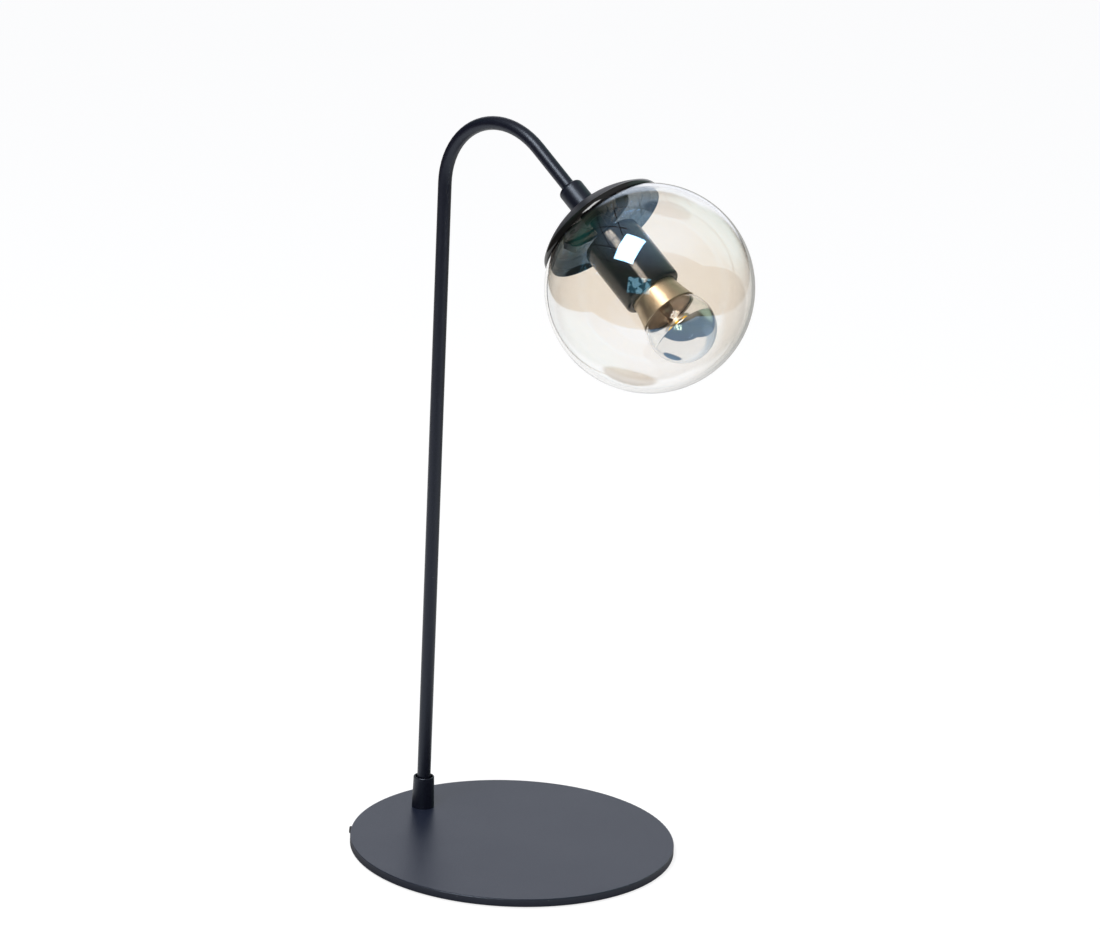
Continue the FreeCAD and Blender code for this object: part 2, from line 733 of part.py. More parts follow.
def terminal():
    """One brass terminal block on top of the ceramic, bored for its wire and its clamp screw."""
    length = 6.0
    width = 7.0
    corner = Vector(TERMINAL_PLACE - length / 2, -width / 2, CORE_HIGH + LAID)
    block = Part.makeBox(length, width, TERMINAL_HEIGHT, corner)
    wire_hole = cylinder(WIRE_RADIUS + 0.15, Vector(corner.x - 1.0, 0, WIRE_HEIGHT), AXIS_X, length - 0.5)
    clamp_hole = cylinder(CLAMP_RADIUS + LAID, Vector(TERMINAL_PLACE, 0, WIRE_HEIGHT + 1.0), UP, length)
    return block.cut(wire_hole).cut(clamp_hole)


def holder_terminals():
    return Part.makeCompound(about_axis(terminal(), 2))


def terminal_screws():
    low = WIRE_HEIGHT + WIRE_RADIUS + 0.2
    seat = CORE_HIGH + TERMINAL_HEIGHT + 2 * LAID
    high = seat + CLAMP_HEAD_HEIGHT
    slot = 0.6
    screw = turned(
        (0, low),
        (CLAMP_RADIUS, low),
        (CLAMP_RADIUS, seat),
        (CLAMP_HEAD_RADIUS, seat),
        (CLAMP_HEAD_RADIUS, high),
        (0, high),
    )
    screw = screw.cut(Part.makeBox(5.0, slot, 1.0, Vector(-2.5, -slot / 2, high - 0.7)))
    screw.translate(AXIS_X * TERMINAL_PLACE)
    return Part.makeCompound(about_axis(screw, 2))


def flex_cores():
    """The two insulated wires that part from the flex and run out to the terminals."""
    bend = 2.0
    start = Vector(1.0, 0, FLEX_HEAD_END - LAID)
    reach = TERMINAL_PLACE - 2 * bend - 2.6
    wire = round_bar(WIRE_RADIUS, start, DOWN, [start.z - bend - WIRE_HEIGHT, (bend, 90, AXIS_X), reach])
    return Part.makeCompound(about_axis(wire, 2))


# ---- the bulb -----------------------------------------------------------------------------------------

BULB_CAP_TOP = 28.5
TIP_TOP = 33.0
TIP_RADIUS = 4.8
TIP_STEM_RADIUS = 3.9
BULB_CAP_WALL = 0.35
BULB_CAP_SHOULDER = 11.2
COLLAR_WALL = 0.8
COLLAR_LIP = 0.5
COLLAR_NECK_RADIUS = 16.8
COLLAR_BEAD_TOP = -5.4
COLLAR_BEAD_RADIUS = 17.8
COLLAR_THROAT_RADIUS = 17.5
COLLAR_BELL_RADIUS = 19.2
COLLAR_BELL_HEIGHT = -14.5
COLLAR_ENTRY_RADIUS = 14.2
POST_WAIST = 4.6
LED_BOARD_RADIUS = 10.4
LED_BOARD_THICKNESS = 1.4
CHIP_SIDE = 2.8
CHIP_THICKNESS = 0.7
CHIP_RING = 8.8
CHIP_START = -50.7


def bulb_screw_cap():
    """The thin metal screw cap, rolled into ridges one thread pitch apart."""
    wall = BULB_CAP_WALL
    low = BULB_CAP_BASE + 0.1
    first_ridge = BULB_CAP_BASE + 2.0
    shoulder = BULB_CAP_TOP - 1.2
    ridges = []
    for turn in range(E27_TURNS):
        foot = first_ridge + turn * E27_PITCH
        ridges.append(((E27_CREST, foot + E27_PITCH / 2), (E27_ROOT, foot + E27_PITCH)))
    return turned(
        (E27_ROOT - wall, low),
        (E27_ROOT, low),
        (E27_ROOT, first_ridge),
        *ridges,
        (E27_ROOT, shoulder),
        (BULB_CAP_SHOULDER, BULB_CAP_TOP),
        (BULB_CAP_SHOULDER - wall, BULB_CAP_TOP),
        (E27_ROOT - wall, shoulder - wall),
    )


def bulb_insulator():
    """The black ring between the screw cap and the tip."""
    bore = TIP_STEM_RADIUS + 0.1
    high = BULB_CAP_TOP + 3.0
    return turned(
        (bore, BULB_CAP_TOP + LAID),
        (BULB_CAP_SHOULDER - 0.1, BULB_CAP_TOP + LAID),
        (BULB_CAP_SHOULDER - 2.2, high - 1.6),
        (TIP_RADIUS + 0.4, high),
        (bore, high),
    )


def bulb_tip():
    """The tip contact: a stem in the insulator and a shallow domed button."""
    low = BULB_CAP_TOP + 3.0 + LAID
    rise = TIP_TOP - low
    dome = (TIP_RADIUS ** 2 + rise ** 2) / (2 * rise)
    return turned(
        (0, BULB_CAP_TOP + 1.0),
        (TIP_STEM_RADIUS, BULB_CAP_TOP + 1.0),
        (TIP_STEM_RADIUS, low),
        (TIP_RADIUS, low),
        sphere_arc(dome, TIP_TOP - dome, (TIP_RADIUS, low), (0, TIP_TOP)),
    )


def bulb_collar():
    """The flared brass collar: a neck in the lampholder, a bead below it, a bell that opens on the glass."""
    t = COLLAR_WALL
    rim = BULB_COLLAR_RIM_RADIUS
    low = BULB_COLLAR_RIM
    neck = COLLAR_NECK_RADIUS
    throat = COLLAR_THROAT_RADIUS
    bell = COLLAR_BELL_RADIUS
    shoulder = 3.0
    bead_half = 0.5
    bead_low = COLLAR_BEAD_TOP - 2 * bead_half
    lip_top = low + 2 * COLLAR_LIP
    return turned(
        (COLLAR_ENTRY_RADIUS - 1.2, BULB_CAP_BASE),
        (COLLAR_ENTRY_RADIUS, BULB_CAP_BASE),
        (neck - t, shoulder),
        (neck, 0.0),
        (neck, COLLAR_BEAD_TOP),
        ((COLLAR_BEAD_RADIUS, COLLAR_BEAD_TOP - bead_half), (throat, bead_low)),
        ((bell, COLLAR_BELL_HEIGHT), (rim - COLLAR_LIP, lip_top)),
        ((rim, low + COLLAR_LIP), (rim - COLLAR_LIP, low)),
        (rim - COLLAR_LIP - 0.3, low + 0.3),
        (rim - COLLAR_LIP - 0.8 * t, lip_top),
        ((bell - t, COLLAR_BELL_HEIGHT), (throat - t, bead_low)),
        (neck - t, COLLAR_BEAD_TOP),
        (neck - t, 0.0),
        (neck - 2 * t, shoulder - 0.2),
        (COLLAR_ENTRY_RADIUS - 1.2, BULB_CAP_BASE - 1.0),
    )


def bulb_driver():
    """The driver inside the bulb's neck: an upright board with a capacitor and a coil."""
    board = Part.makeBox(19.0, 1.2, 24.0, Vector(-9.5, -0.6, -2.0))
    capacitor = cylinder(4.0, Vector(-3.5, 4.8, 2.0), UP, 12.0)
    coil = cylinder(3.5, Vector(4.0, -4.3, 4.0), UP, 9.0)
    return Part.makeCompound([board, capacitor, coil])


def bulb_reflector():
    """The brass dish that closes the collar's mouth round the foot of the post."""
    t = 0.6
    rise = 6.4
    rim = BULB_COLLAR_RIM_RADIUS - COLLAR_WALL - 0.75
    low = BULB_COLLAR_RIM + 1.6
    middle = (rim * 0.62, low + 5.0)
    waist = POST_WAIST + FIT
    return turned(
        (rim, low),
        (middle, (waist, low + rise)),
        (waist, low + rise + t),
        ((middle[0], middle[1] + t), (rim - 0.4, low + t)),
    )


def led_post():
    """The trumpet-shaped post that carries the light source out to the middle of the bulb."""
    high = BULB_COLLAR_RIM + 10.0
    flare = BULB_COLLAR_RIM + 2.5
    low = LED_FACE + LED_BOARD_THICKNESS + LAID
    return turned(
        (0, high),
        (POST_WAIST, high),
        (POST_WAIST, flare),
        ((POST_WAIST + 0.9, flare - 8.5), (LED_BOARD_RADIUS, low + 0.8)),
        (LED_BOARD_RADIUS, low),
        (0, low),
    )


def led_board():
    return ring(LED_BOARD_RADIUS, 0, LED_FACE, LED_FACE + LED_BOARD_THICKNESS)


def led_chips():
    corner = Vector(CHIP_RING - CHIP_SIDE / 2, -CHIP_SIDE / 2, LED_FACE - CHIP_THICKNESS - LAID)
    chip = Part.makeBox(CHIP_SIDE, CHIP_SIDE, CHIP_THICKNESS, corner)
    return Part.makeCompound(about_axis(chip, LED_COUNT, CHIP_START))


def bulb_envelope():
    """The clear glass ball, open where it is cemented into the collar."""
    mouth_height = BULB_COLLAR_RIM + 0.9
    inner = BULB_RADIUS - BULB_WALL
    mouth_out = math.sqrt(BULB_RADIUS ** 2 - (mouth_height - BULB_CENTRE) ** 2)
    mouth_in = math.sqrt(inner ** 2 - (mouth_height - BULB_CENTRE) ** 2)
    return turned(
        (mouth_out, mouth_height),
        ((BULB_RADIUS, BULB_CENTRE), (0, BULB_CENTRE - BULB_RADIUS)),
        (0, BULB_CENTRE - inner),
        ((inner, BULB_CENTRE), (mouth_in, mouth_height)),
    )


def bulb_mirror():
    """The mirrored crown: a thin bright cup lying against the inside of the glass."""
    outer = BULB_RADIUS - BULB_WALL - LAID
    inner = outer - 0.3
    drop = MIRROR_START - BULB_CENTRE
    edge_out = (math.sqrt(outer ** 2 - drop ** 2), MIRROR_START)
    edge_in = (math.sqrt(inner ** 2 - drop ** 2), MIRROR_START)
    bottom_out = (0, BULB_CENTRE - outer)
    bottom_in = (0, BULB_CENTRE - inner)
    return turned(
        edge_out,
        sphere_arc(outer, BULB_CENTRE, edge_out, bottom_out),
        bottom_in,
        sphere_arc(inner, BULB_CENTRE, bottom_in, edge_in),
    )


# ---- assembly -----------------------------------------------------------------------------------------

def on_head(shape):
    """Tilts an upright head piece on to the stem's sloping axis."""
    shape.rotate(ORIGIN, AXIS_Y, HEAD_SLOPE - 90.0)
    shape.translate(GLOBE_CENTRE)
    return shape


STANDING = [
    base_pad,
    base_plate,
    cord_bush,
    foot_screws,
    foot_collar,
    foot_grub,
    stem_tube,
    inner_flex,
]

HANGING = [
    head_collar,
    head_grub,
    head_nipple,
    head_nuts,
    cap_dome,
    rim_gasket,
    spacer_sleeve,
    spring_spider,
    globe_springs,
    spring_rivets,
    glass_globe,
    holder_cap,
    holder_skirt,
    holder_core,
    thread_shell,
    centre_contact,
    holder_terminals,
    terminal_screws,
    flex_cores,
    bulb_screw_cap,
    bulb_insulator,
    bulb_tip,
    bulb_collar,
    bulb_driver,
    bulb_reflector,
    led_post,
    led_board,
    led_chips,
    bulb_envelope,
    bulb_mirror,
]

os.makedirs("parts", exist_ok=True)
for make in STANDING + HANGING:
    solid = make()
    if make in HANGING:
        solid = on_head(solid)
    solid.exportStep("parts/" + make.__name__ + ".step")
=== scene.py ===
"""Looks for the glass globe table lamp: finishes, finer glass and threads, a plain studio.

Metres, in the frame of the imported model. The head's own height runs along its axis: 0 at the globe's
centre, positive towards the stem.
"""

import json
import math

import bmesh
import bpy
from mathutils import Matrix, Vector


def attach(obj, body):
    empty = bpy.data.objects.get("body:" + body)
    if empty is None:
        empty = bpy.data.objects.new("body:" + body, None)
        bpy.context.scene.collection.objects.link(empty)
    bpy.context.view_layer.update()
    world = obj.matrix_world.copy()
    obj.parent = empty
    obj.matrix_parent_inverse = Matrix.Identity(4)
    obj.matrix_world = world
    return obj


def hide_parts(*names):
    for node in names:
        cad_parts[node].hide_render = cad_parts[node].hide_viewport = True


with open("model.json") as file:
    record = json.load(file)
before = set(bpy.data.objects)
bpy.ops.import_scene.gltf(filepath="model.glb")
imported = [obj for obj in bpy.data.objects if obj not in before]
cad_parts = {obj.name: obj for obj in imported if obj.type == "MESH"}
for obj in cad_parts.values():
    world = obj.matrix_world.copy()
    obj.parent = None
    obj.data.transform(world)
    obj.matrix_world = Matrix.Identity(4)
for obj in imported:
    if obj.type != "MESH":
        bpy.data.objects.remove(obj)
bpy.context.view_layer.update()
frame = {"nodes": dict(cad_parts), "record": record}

MM = 0.001

# ---- driving dimensions -------------------------------------------------------------------------------

JOINTS = {joint["name"]: joint for joint in frame["record"]["behaviour"]["joints"]}
HEAD_DOWN = Vector(JOINTS["bulb_turn"]["axis"]).normalized()
HEAD_AXIS = -HEAD_DOWN
GLOBE_CENTRE = Vector(JOINTS["bulb_turn"]["pos_m"])
THREAD_PITCH = frame["record"]["behaviour"]["couplings"][0]["ratio"] * 2 * math.pi

GLOBE_RADIUS = 75.0 * MM
GLOBE_WALL = 2.2 * MM
GLOBE_MOUTH_RADIUS = 30.0 * MM
BULB_CENTRE = -38.2 * MM
BULB_RADIUS = 25.1 * MM
BULB_WALL = 0.8 * MM
BULB_MOUTH = -22.9 * MM
MIRROR_START = -41.5 * MM
MIRROR_WALL = 0.3 * MM
MIRROR_GAP = 0.05 * MM
CAP_DOME_CENTRE = 2.7 * MM
CAP_DOME_RADIUS = 76.0 * MM
CAP_GLOSS_TOP = 61.9 * MM
SCREW_CREST = 13.1 * MM
SCREW_ROOT = 12.3 * MM
SCREW_LOW = 5.6 * MM
SCREW_HIGH = 28.5 * MM
SCREW_WALL = 0.35 * MM
SCREW_SHOULDER = 1.1 * MM
SCREW_SHOULDER_HEIGHT = 1.2 * MM
PLATE_TOP = 6.8 * MM
PLATE_RADIUS = 120.0 * MM
UP = Vector((0, 0, 1))

# ---- camera: where the photograph was taken from ------------------------------------------------------

IMAGE_WIDTH = 1100
FOCAL_PIXELS = 7000
SENSOR = 36.0
CAMERA_PLACE = Vector((3.180148, -3.634510, 1.916305))
CAMERA_RIGHT = Vector((0.74572568, 0.66512551, 0.03874615))
CAMERA_UP = Vector((-0.23885867, 0.21260846, 0.94749363))


def make_camera():
    lens = bpy.data.cameras.new("camera")
    lens.sensor_fit = "HORIZONTAL"
    lens.sensor_width = SENSOR
    lens.lens = SENSOR * FOCAL_PIXELS / IMAGE_WIDTH
    camera = bpy.data.objects.new("camera", lens)
    bpy.context.scene.collection.objects.link(camera)
    back = CAMERA_RIGHT.cross(CAMERA_UP)
    turn = Matrix((CAMERA_RIGHT, CAMERA_UP, back)).transposed().to_4x4()
    camera.matrix_world = Matrix.Translation(CAMERA_PLACE) @ turn
    bpy.context.scene.camera = camera


# ---- node trees written as expressions ----------------------------------------------------------------

class Signal:
    """A node's output, with arithmetic that adds Math nodes."""

    def __init__(self, sheet, socket):
        self.sheet = sheet
        self.socket = socket

    def math(self, operation, *others):
        sockets = dict(enumerate((self,) + others))
        return self.sheet.add("ShaderNodeMath", {"operation": operation}, sockets)

    def __add__(self, other):
        return self.math("ADD", other)

    def __mul__(self, other):
        return self.math("MULTIPLY", other)

    def __sub__(self, other):
        return self.math("SUBTRACT", other)

    def __rsub__(self, other):
        return self * -1.0 + other

    def __truediv__(self, other):
        return self.math("DIVIDE", other)

    def __abs__(self):
        return self.math("ABSOLUTE")

    __radd__ = __add__
    __rmul__ = __mul__

    def above(self, low, high):
        """0 below low, 1 above high, and smooth between them."""
        settings = {"interpolation_type": "SMOOTHSTEP"}
        sockets = {"Value": self, "From Min": low, "From Max": high}
        return self.sheet.add("ShaderNodeMapRange", settings, sockets)

    def below(self, low, high):
        return 1 - self.above(low, high)


class Sheet:
    """A material's or the world's node tree while it is being written."""

    def __init__(self, tree):
        tree.nodes.clear()
        self.tree = tree

    def add(self, kind, settings=None, sockets=None, output=0):
        node = self.tree.nodes.new(kind)
        for name, value in (settings or {}).items():
            setattr(node, name, value)
        for name, value in (sockets or {}).items():
            if isinstance(value, Signal):
                self.tree.links.new(value.socket, node.inputs[name])
            else:
                node.inputs[name].default_value = value
        return Signal(self, node.outputs[output]) if node.outputs else None

    def place(self):
        return self.add("ShaderNodeTexCoord", output="Object")

    def light_path(self, output):
        return self.add("ShaderNodeLightPath", output=output)

    def vector(self, operation, a, b, output=0):
        return self.add("ShaderNodeVectorMath", {"operation": operation}, {0: a, 1: b}, output)

    def along(self, vector, axis):
        return self.vector("DOT_PRODUCT", vector, tuple(axis), "Value")

    def noise(self, place, scale, detail=2.0, roughness=0.5):
        sockets = {"Vector": place, "Scale": scale, "Detail": detail, "Roughness": roughness}
        return self.add("ShaderNodeTexNoise", sockets=sockets)

    def cells(self, place, scale):
        return self.add("ShaderNodeTexVoronoi", sockets={"Vector": place, "Scale": scale})

    def mix(self, factor, a, b):
        ends = [c if isinstance(c, Signal) else (*c, 1.0) for c in (a, b)]
        sockets = {"Factor": factor, 6: ends[0], 7: ends[1]}
        return self.add("ShaderNodeMix", {"data_type": "RGBA"}, sockets, 2)

    def bump(self, height, depth, strength=1.0):
        sockets = {"Height": height, "Distance": depth, "Strength": strength}
        return self.add("ShaderNodeBump", sockets=sockets)

    def principled(self, **sockets):
        """A surface shader whose sockets are given as words: base_color for Base Color."""
        named = {}
        for word, value in sockets.items():
            if isinstance(value, tuple) and len(value) == 3:
                value = (*value, 1.0)
            named[word.replace("_", " ").title().replace("Ior", "IOR")] = value
        return self.add("ShaderNodeBsdfPrincipled", sockets=named)

    def shader_mix(self, factor, a, b):
        return self.add("ShaderNodeMixShader", sockets={0: factor, 1: a, 2: b})

    def head_height(self, place):
        """Height along the head's axis, in metres."""
        return self.along(place, HEAD_AXIS) - GLOBE_CENTRE.dot(HEAD_AXIS)

    def distance_to(self, place, point):
        return self.vector("DISTANCE", place, tuple(point), "Value")


def finish(name, recipe):
    """A material whose surface is the recipe's shader."""
    material = bpy.data.materials.new(name)
    material.use_nodes = True
    sheet = Sheet(material.node_tree)
    surface = recipe(sheet)
    sheet.add("ShaderNodeOutputMaterial", sockets={"Surface": surface})
    return material


# ---- finishes -----------------------------------------------------------------------------------------

POWDER = (0.0032, 0.0034, 0.0105)
POWDER_WORN = (0.0045, 0.0047, 0.0125)
# Painted sheen: the lighter, bluer colour given to the plate's top for the backdrop it reflects.
POWDER_PAINTED_SHEEN = (0.012, 0.016, 0.034)
POWDER_SHINE = 0.58
POWDER_LEVEL_SHINE = 0.72
DUST = (0.30, 0.31, 0.34)
GLOBE_SHADOW = (0.74, 0.65, 0.55, 1.0)
BULB_SHADOW = (0.92, 0.93, 0.93, 1.0)


def dust_on(s, place, colour, amount):
    """A few pale specks of dust over a colour."""
    speck = s.cells(place, 300.0).below(0.05, 0.09)
    thinned = speck * s.noise(place, 55.0, 1.0).above(0.62, 0.66)
    return s.mix(thinned * amount, colour, DUST)


def powder_coat(s, painted_sheen=0.0, shine=POWDER_SHINE):
    """Black powder coat; on a face that lies flat under the light, a mask of 1 gives a painted sheen: a
    lighter, bluer colour.
    """
    place = s.place()
    grain = s.noise(place, 2300.0, 2.0)
    pebble = s.noise(place, 900.0, 1.0)
    wiped = s.noise(place, 11.0, 4.0, 0.6)
    colour = s.mix(wiped.above(0.35, 0.7), POWDER, POWDER_WORN)
    # painted sheen on the flat top face: lighter and bluer
    colour = s.mix(painted_sheen, colour, POWDER_PAINTED_SHEEN)
    colour = s.mix(grain.above(0.55, 0.8) * 0.25, colour, (0.040, 0.041, 0.055))
    colour = s.mix(pebble.above(0.5, 0.75) * 0.30, colour, (0.018, 0.018, 0.038))
    return s.principled(
        base_color=dust_on(s, place, colour, 0.5),
        specular_ior_level=shine,
        specular_tint=(0.76, 0.86, 1.0),
        roughness=0.30 + wiped * 0.06 + pebble * 0.10,
        normal=s.bump(grain * 0.4 + pebble * 0.6, 0.00012, 0.6),
    )


def plate_coat_painted_sheen(s):
    """Powder coat on the plate, with a painted sheen, lighter and bluer, on its top, the one large flat
    face.
    """
    height = s.along(s.place(), UP)
    return powder_coat(s, height.above(PLATE_TOP - 0.5 * MM, PLATE_TOP), POWDER_LEVEL_SHINE)


def cap_enamel(s):
    """Satin powder coat on the crown, deep gloss on the band above the rim and inside."""
    place = s.place()
    height = s.head_height(place)
    dome = s.distance_to(place, GLOBE_CENTRE + HEAD_AXIS * CAP_DOME_CENTRE)
    outside = dome.above(CAP_DOME_RADIUS - 0.7 * MM, CAP_DOME_RADIUS - 0.5 * MM)
    satin = outside * height.above(CAP_GLOSS_TOP - 0.1 * MM, CAP_GLOSS_TOP + 0.1 * MM)
    grain = s.noise(place, 2300.0, 2.0)
    peel = s.noise(place, 260.0, 1.0)
    wiped = s.noise(place, 16.0, 3.0)
    gloss = s.mix(wiped, (0.0035, 0.0030, 0.0030), (0.0060, 0.0055, 0.0060))
    colour = s.mix(satin, gloss, POWDER)
    return s.principled(
        base_color=dust_on(s, place, colour, 0.35),
        roughness=0.05 + wiped * 0.05 + satin * (0.36 + grain * 0.06),
        normal=s.bump(peel * 0.15 + satin * grain, 0.00006, 0.5),
    )


def holder_plastic(s):
    place = s.place()
    flow = s.noise(place, 38.0, 3.0)
    skin = s.noise(place, 420.0, 1.0)
    handled = s.noise(place, 90.0, 4.0, 0.65)
    return s.principled(
        base_color=dust_on(s, place, s.mix(flow, (0.006, 0.006, 0.007), (0.011, 0.011, 0.013)), 0.25),
        roughness=0.09 + handled.above(0.5, 0.8) * 0.12,
        normal=s.bump(skin * 0.4 + flow * 0.6, 0.00004, 0.4),
    )


def lustre_glass(s):
    """Blown glass with a thin lustre that mirrors blue and lets amber through.

    Shadow rays pass straight through it, so that lamps light what is inside.
    """
    place = s.place()
    sweep = s.noise(place, 14.0, 2.0)
    ripple = s.noise(place, 45.0, 1.0)
    finger = s.noise(place, 70.0, 5.0, 0.7).above(0.62, 0.85) * s.noise(place, 12.0, 1.0).above(0.5, 0.7)
    glass = s.principled(
        base_color=s.mix(sweep, (0.980, 0.985, 0.990), (0.990, 0.995, 0.995)),
        transmission_weight=1.0,
        ior=2.1,
        specular_tint=(0.36, 0.64, 1.0),
        roughness=finger * 0.06,
        normal=s.bump(sweep * 0.7 + ripple * 0.3, 0.0006, 0.10),
    )
    clear = s.add("ShaderNodeBsdfTransparent", sockets={"Color": GLOBE_SHADOW})
    return s.shader_mix(s.light_path("Is Shadow Ray"), glass, clear)


def clear_glass(s):
    """The bulb's thin clear ball."""
    place = s.place()
    ripple = s.noise(place, 60.0, 1.0)
    haze = s.noise(place, 25.0, 3.0)
    glass = s.principled(
        base_color=s.mix(haze, (0.97, 0.98, 0.975), (0.99, 0.99, 0.99)),
        transmission_weight=1.0,
        ior=1.5,
        roughness=haze.above(0.6, 0.8) * 0.03,
        normal=s.bump(ripple, 0.0003, 0.05),
    )
    clear = s.add("ShaderNodeBsdfTransparent", sockets={"Color": BULB_SHADOW})
    return s.shader_mix(s.light_path("Is Shadow Ray"), glass, clear)


def brass(s, light=(0.70, 0.62, 0.49), dark=(0.58, 0.50, 0.38), roughness=0.33):
    """Turned brass, with fine rings about the head's axis and some tarnish."""
    place = s.place()
    height = s.head_height(place)
    rings = s.noise(s.add("ShaderNodeCombineXYZ", sockets={2: height}), 2600.0, 3.0)
    tarnish = s.noise(place, 130.0, 4.0, 0.6)
    return s.principled(
        base_color=s.mix(tarnish.above(0.35, 0.75), light, dark),
        metallic=1.0,
        roughness=roughness + rings * 0.10 + tarnish * 0.06,
        normal=s.bump(rings, 0.00003, 0.35),
    )


def post_brass(s):
    return brass(s, (0.76, 0.62, 0.47), (0.62, 0.49, 0.34), 0.24)


def dish_brass(s):
    return brass(s, (0.66, 0.53, 0.42), (0.56, 0.44, 0.33), 0.40)


def contact_brass(s):
    return brass(s, (0.74, 0.56, 0.30), (0.50, 0.36, 0.19), 0.34)


def plain_metal(s, light, dark, roughness):
    """Plated or bright steel: a fine drawn grain, a little tarnish."""
    place = s.place()
    grain = s.noise(place, 1800.0, 3.0)
    tarnish = s.noise(place, 160.0, 4.0, 0.6)
    return s.principled(
        base_color=s.mix(tarnish.above(0.4, 0.8), light, dark),
        metallic=1.0,
        roughness=roughness + grain * 0.12 + tarnish * 0.08,
        normal=s.bump(grain, 0.00003, 0.4),
    )


def zinc_steel(s):
    return plain_metal(s, (0.62, 0.63, 0.62), (0.42, 0.42, 0.40), 0.28)


def spring_steel(s):
    return plain_metal(s, (0.065, 0.068, 0.085), (0.045, 0.042, 0.045), 0.30)


def black_steel(s):
    return plain_metal(s, (0.060, 0.060, 0.066), (0.035, 0.034, 0.036), 0.38)


def solder_tip(s):
    return plain_metal(s, (0.60, 0.60, 0.58), (0.36, 0.36, 0.35), 0.36)


def nickelled_cap(s):
    return plain_metal(s, (0.74, 0.72, 0.68), (0.52, 0.50, 0.46), 0.20)


def board_aluminium(s):
    return plain_metal(s, (0.84, 0.84, 0.83), (0.70, 0.70, 0.69), 0.40)


def crown_mirror(s):
    place = s.place()
    haze = s.noise(place, 40.0, 3.0)
    pits = s.cells(place, 520.0).below(0.04, 0.08) * haze.above(0.5, 0.6)
    return s.principled(
        base_color=s.mix(pits * 0.6, (0.90, 0.90, 0.90), (0.55, 0.54, 0.52)),
        metallic=1.0,
        roughness=0.02 + haze.above(0.55, 0.8) * 0.05,
        normal=s.bump(haze, 0.0001, 0.05),
    )


def dull(s, light, dark, roughness, scale=900.0, depth=0.00005):
    """A matt moulded or pressed material with a fine tooth."""
    place = s.place()
    tooth = s.noise(place, scale, 3.0)
    patch = s.noise(place, 60.0, 3.0)
    return s.principled(
        base_color=s.mix(patch, light, dark),
        roughness=roughness + tooth * 0.10,
        normal=s.bump(tooth, depth, 0.6),
    )


def pad_foam(s):
    return dull(s, (0.022, 0.022, 0.024), (0.030, 0.030, 0.032), 0.80, 1400.0, 0.0002)


def soft_rubber(s):
    return dull(s, (0.018, 0.018, 0.020), (0.026, 0.026, 0.028), 0.62)


def flex_sheath(s):
    return dull(s, (0.040, 0.040, 0.042), (0.055, 0.055, 0.057), 0.50)


def core_insulation(s):
    return dull(s, (0.30, 0.13, 0.06), (0.24, 0.10, 0.045), 0.45)


def white_ceramic(s):
    return dull(s, (0.84, 0.83, 0.79), (0.76, 0.75, 0.71), 0.42, 500.0)


def black_insulator(s):
    return dull(s, (0.012, 0.012, 0.016), (0.022, 0.020, 0.026), 0.10, 200.0)


def circuit_board(s):
    return dull(s, (0.020, 0.16, 0.065), (0.035, 0.24, 0.10), 0.40, 400.0)


def led_phosphor(s):
    """Yellow phosphor with a painted glow: an emission that brightens the chips, though the lamp is off."""
    place = s.place()
    tooth = s.noise(place, 1500.0, 3.0)
    return s.principled(
        base_color=s.mix(tooth, (1.0, 0.70, 0.03), (0.94, 0.60, 0.02)),
        # painted glow: the unlit chips give out light of their own
        emission_color=s.mix(tooth, (1.0, 0.62, 0.01), (0.9, 0.52, 0.0)),
        emission_strength=0.8,
        roughness=0.30 + tooth * 0.10,
        normal=s.bump(tooth, 0.00005, 0.6),
    )


FINISHES = {
    "powder_coat": powder_coat,
    "gloss_black_enamel": cap_enamel,
    "pad_felt": pad_foam,
    "soft_rubber": soft_rubber,
    "zinc_steel": zinc_steel,
    "spring_steel": spring_steel,
    "black_steel": black_steel,
    "flex_sheath": flex_sheath,
    "core_insulation": core_insulation,
    "lustre_glass": lustre_glass,
    "holder_plastic": holder_plastic,
    "white_ceramic": white_ceramic,
    "contact_brass": contact_brass,
    "nickelled_cap": nickelled_cap,
    "black_glass": black_insulator,
    "solder_tip": solder_tip,
    "collar_brass": brass,
    "circuit_board": circuit_board,
    "post_brass": post_brass,
    "board_aluminium": board_aluminium,
    "led_phosphor": led_phosphor,
    "clear_glass": clear_glass,
    "crown_mirror": crown_mirror,
}


# ---- meshes turned about the head's axis --------------------------------------------------------------

def head_frame():
    """From (x, y, height) on the head to the lamp's frame."""
    across = Vector((0, 1, 0))
    side = across.cross(HEAD_AXIS)
    turn = Matrix((side, across, HEAD_AXIS)).transposed().to_4x4()
    return Matrix.Translation(GLOBE_CENTRE) @ turn


def arc(radius, centre_height, start, end, steps):
    """Points (r, height) on a sphere's meridian. Angles in degrees, 0 towards the stem."""
    points = []
    for k in range(steps + 1):
        angle = math.radians(start + (end - start) * k / steps)
        points.append((radius * math.sin(angle), centre_height + radius * math.cos(angle)))
    return points


def lathe(profile, segments, shaped=None, closed=False):
    """A mesh turned about the head's axis. shaped moves a point, given its place on the ring."""
    mesh = bmesh.new()
    rings = []
    for r, height in profile:
        count = 1 if r < 1e-7 else segments
        ring = []
        for k in range(count):
            angle = 2 * math.pi * k / segments
            radius, lift = shaped(r, height, angle) if shaped else (r, height)
            ring.append(mesh.verts.new((radius * math.cos(angle), radius * math.sin(angle), lift)))
        rings.append(ring)
    pairs = list(zip(rings, rings[1:]))
    if closed:
        pairs.append((rings[-1], rings[0]))
    for low, high in pairs:
        for k in range(segments):
            low_side = [low[k % len(low)], low[(k + 1) % len(low)]]
            high_side = [high[(k + 1) % len(high)], high[k % len(high)]]
            mesh.faces.new(list(dict.fromkeys(low_side + high_side)))
    bmesh.ops.recalc_face_normals(mesh, faces=mesh.faces)
    mesh.transform(head_frame())
    return mesh


